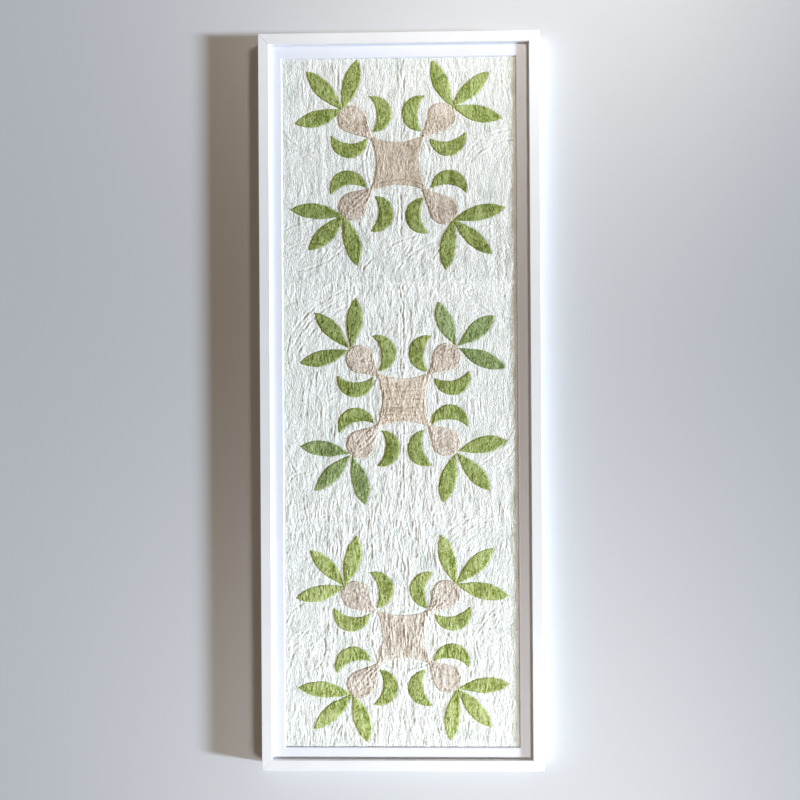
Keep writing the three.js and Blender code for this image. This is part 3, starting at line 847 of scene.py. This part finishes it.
for name, block, arm in patches_of("leaf"):
    cotton = GREEN_COTTON[LEAF_GREENS[block][arm]]
    sew_patch(name, LEAF_GRID, LEAF_CREASES, (), cotton)

# Crescents: half moons of the same green cotton, one on each side of each bulb, with their round side
# turned away from it. They are cut and sewn down as the leaves are.
CRESCENT_GRID = (80, 22)
CRESCENT_CREASES = (4.4, 8, 0.26)
CRESCENT_GREENS = {
    "top": {"ne": "plain", "nw": "plain", "sw": "dull", "se": "dull"},
    "middle": dict.fromkeys(ARM_NAMES, "plain"),
    "bottom": dict.fromkeys(ARM_NAMES, "soft"),
}

for name, block, arm in patches_of("crescent"):
    cotton = GREEN_COTTON[CRESCENT_GREENS[block][arm]]
    sew_patch(name, CRESCENT_GRID, CRESCENT_CREASES, (), cotton)

# Window mat: one sheet of thick white card that holds the quilt flat, with a window cut on a bevel. It is
# pushed up behind the rails' lip. The card is matt, cool white and nearly even, with a faint fibrous tooth.
CARD_FIBRE = 1.2
CARD_CLOUD = 60


def mat_card():
    material, tree, place = new_material("white mat card")
    fibre = add_node(tree, "ShaderNodeTexNoise", {
        "Scale": 1 / (CARD_FIBRE * MM), "Detail": 3.0,
    }, {"Vector": place}).outputs["Fac"]
    cloud = add_node(tree, "ShaderNodeTexNoise", {
        "Scale": 1 / (CARD_CLOUD * MM), "Detail": 2.0,
    }, {"Vector": place}).outputs["Fac"]
    ramp = add_node(tree, "ShaderNodeValToRGB", {}, {"Fac": cloud})
    stops = ramp.color_ramp.elements
    stops[0].position, stops[0].color = 0.3, linear("e9ecf6")
    stops[1].position, stops[1].color = 0.7, linear("edf0f9")
    tooth = add_node(tree, "ShaderNodeBump", {"Strength": 0.25, "Distance": 0.05 * MM}, {
        "Height": fibre,
    }).outputs[0]
    shader = add_node(tree, "ShaderNodeBsdfPrincipled", {"Roughness": 0.8, "Specular IOR Level": 0.3},
                      {"Base Color": ramp.outputs["Color"], "Normal": tooth})
    add_node(tree, "ShaderNodeOutputMaterial", {}, {"Surface": shader.outputs[0]})
    return material


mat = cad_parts["window_mat"]
mat.data.materials.clear()
mat.data.materials.append(mat_card())

# Backing board: grey-brown pressed board that closes the frame behind the quilt. Fine wood fibres and
# paler shreds show in its smooth matt face. It lies in the rails' rabbet, with nothing hung on it.
SHRED_LENGTH = 3


def pressed_board():
    material, tree, place = new_material("pressed fibre board")
    shreds = add_node(tree, "ShaderNodeTexNoise", {
        "Scale": 1 / (SHRED_LENGTH * MM), "Detail": 4.0, "Roughness": 0.7, "Distortion": 1.2,
    }, {"Vector": place}).outputs["Fac"]
    ramp = add_node(tree, "ShaderNodeValToRGB", {}, {"Fac": shreds})
    stops = ramp.color_ramp.elements
    stops[0].position, stops[0].color = 0.34, linear("7d6a52")
    stops[1].position, stops[1].color = 0.72, linear("a8947a")
    stops.new(0.5).color = linear("917d63")
    felt = add_node(tree, "ShaderNodeBump", {"Strength": 0.3, "Distance": 0.1 * MM}, {
        "Height": shreds,
    }).outputs[0]
    shader = add_node(tree, "ShaderNodeBsdfPrincipled", {"Roughness": 0.82, "Specular IOR Level": 0.3},
                      {"Base Color": ramp.outputs["Color"], "Normal": felt})
    add_node(tree, "ShaderNodeOutputMaterial", {}, {"Surface": shader.outputs[0]})
    return material


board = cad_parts["backing_board"]
board.data.materials.clear()
board.data.materials.append(pressed_board())

# Frame rails: four lengths of plain planed wood, rabbeted behind, mitred and glued at the corners, and
# painted white. The satin paint gives a soft broad shine and hides the grain under a slight orange peel.
PEEL_SIZE = 2.5
PAINT_CLOUD = 80


def satin_paint():
    material, tree, place = new_material("satin white paint on wood")
    peel = add_node(tree, "ShaderNodeTexNoise", {
        "Scale": 1 / (PEEL_SIZE * MM), "Detail": 3.0,
    }, {"Vector": place}).outputs["Fac"]
    cloud = add_node(tree, "ShaderNodeTexNoise", {
        "Scale": 1 / (PAINT_CLOUD * MM), "Detail": 2.0,
    }, {"Vector": place}).outputs["Fac"]
    ramp = add_node(tree, "ShaderNodeValToRGB", {}, {"Fac": cloud})
    stops = ramp.color_ramp.elements
    stops[0].position, stops[0].color = 0.3, linear("eff0f1")
    stops[1].position, stops[1].color = 0.7, linear("f4f5f6")
    orange_peel = add_node(tree, "ShaderNodeBump", {"Strength": 0.2, "Distance": 0.05 * MM}, {
        "Height": peel,
    }).outputs[0]
    shader = add_node(tree, "ShaderNodeBsdfPrincipled", {"Roughness": 0.38, "IOR": 1.5},
                      {"Base Color": ramp.outputs["Color"], "Normal": orange_peel})
    add_node(tree, "ShaderNodeOutputMaterial", {}, {"Surface": shader.outputs[0]})
    return material


PAINT = satin_paint()
for name in ("rail_left", "rail_right", "rail_bottom", "rail_top"):
    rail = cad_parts[name]
    rail.data.materials.clear()
    rail.data.materials.append(PAINT)

# Studio: a plain pale floor, and one far soft light low on the right that rakes over the creases. Three
# weaker soft lamps even out the panel's length. The room is pale, under a dim warm ceiling. Lights and
# their sizes are in metres.
FLOOR_SIZE = 12
FLOOR_DROP = 0.5
bpy.ops.mesh.primitive_plane_add(size=FLOOR_SIZE, location=(0, 0, -FLOOR_DROP * MM))
floor = bpy.context.object
floor.name = "studio_floor"
floor_paint = bpy.data.materials.new("pale studio floor")
floor_paint.use_nodes = True
floor_finish = floor_paint.node_tree.nodes["Principled BSDF"].inputs
floor_finish["Base Color"].default_value = linear("cfd1d3")
floor_finish["Roughness"].default_value = 0.8
floor.data.materials.append(floor_paint)


def soft_light(name, place, aim, size, spread, power, colour):
    """A large soft lamp that fans out by its spread, in degrees."""
    bpy.ops.object.light_add(type="AREA", location=place)
    light = bpy.context.object
    light.name = name
    light.visible_camera = False
    light.data.shape = "RECTANGLE"
    light.data.size, light.data.size_y = size
    light.data.spread = math.radians(spread)
    light.data.energy = power
    light.data.color = linear(colour)[:3]
    heading = light.location - type(light.location)(aim)
    light.rotation_euler = heading.to_track_quat("Z", "Y").to_euler()


LOW_LIGHT_PLACE = (4.2, -0.65, 1.25)
LOW_LIGHT_POWER = 6.85
LOW_LIGHT_WIDTH = 6
bpy.ops.object.light_add(type="SUN", location=LOW_LIGHT_PLACE)
low_light = bpy.context.object
low_light.name = "low_light"
low_light.data.energy = LOW_LIGHT_POWER
low_light.data.angle = math.radians(LOW_LIGHT_WIDTH)
low_light.data.color = linear("ddedff")[:3]
low_light.rotation_euler = low_light.location.to_track_quat("Z", "Y").to_euler()
soft_light("lower_light", place=(1.3, -1.6, 1.9), aim=(0.12, -0.76, 0), size=(0.9, 0.7),
           spread=33, power=2.0, colour="fffdfa")
soft_light("middle_light", place=(1.4, 0.1, 1.9), aim=(0.26, 0.0, 0), size=(0.8, 0.6),
           spread=24, power=0.24, colour="fff8ee")
soft_light("upper_light", place=(1.3, 1.6, 1.9), aim=(0.22, 0.88, 0), size=(0.8, 0.6),
           spread=28, power=1.7, colour="fff8ee")
world = bpy.data.worlds.new("pale room")
world.use_nodes = True
heading = add_node(world.node_tree, "ShaderNodeTexCoord").outputs["Object"]
height = add_node(world.node_tree, "ShaderNodeSeparateXYZ", {}, {"Vector": heading}).outputs["Z"]
room = add_node(world.node_tree, "ShaderNodeValToRGB", {}, {"Fac": height})
stops = room.color_ramp.elements
stops[0].position, stops[0].color = 0.08, linear("cdccca")
stops[1].position, stops[1].color = 0.3, linear("75634f")
world.node_tree.links.new(room.outputs["Color"], world.node_tree.nodes["Background"].inputs["Color"])
bpy.context.scene.world = world
bpy.context.scene.view_settings.view_transform = "Standard"
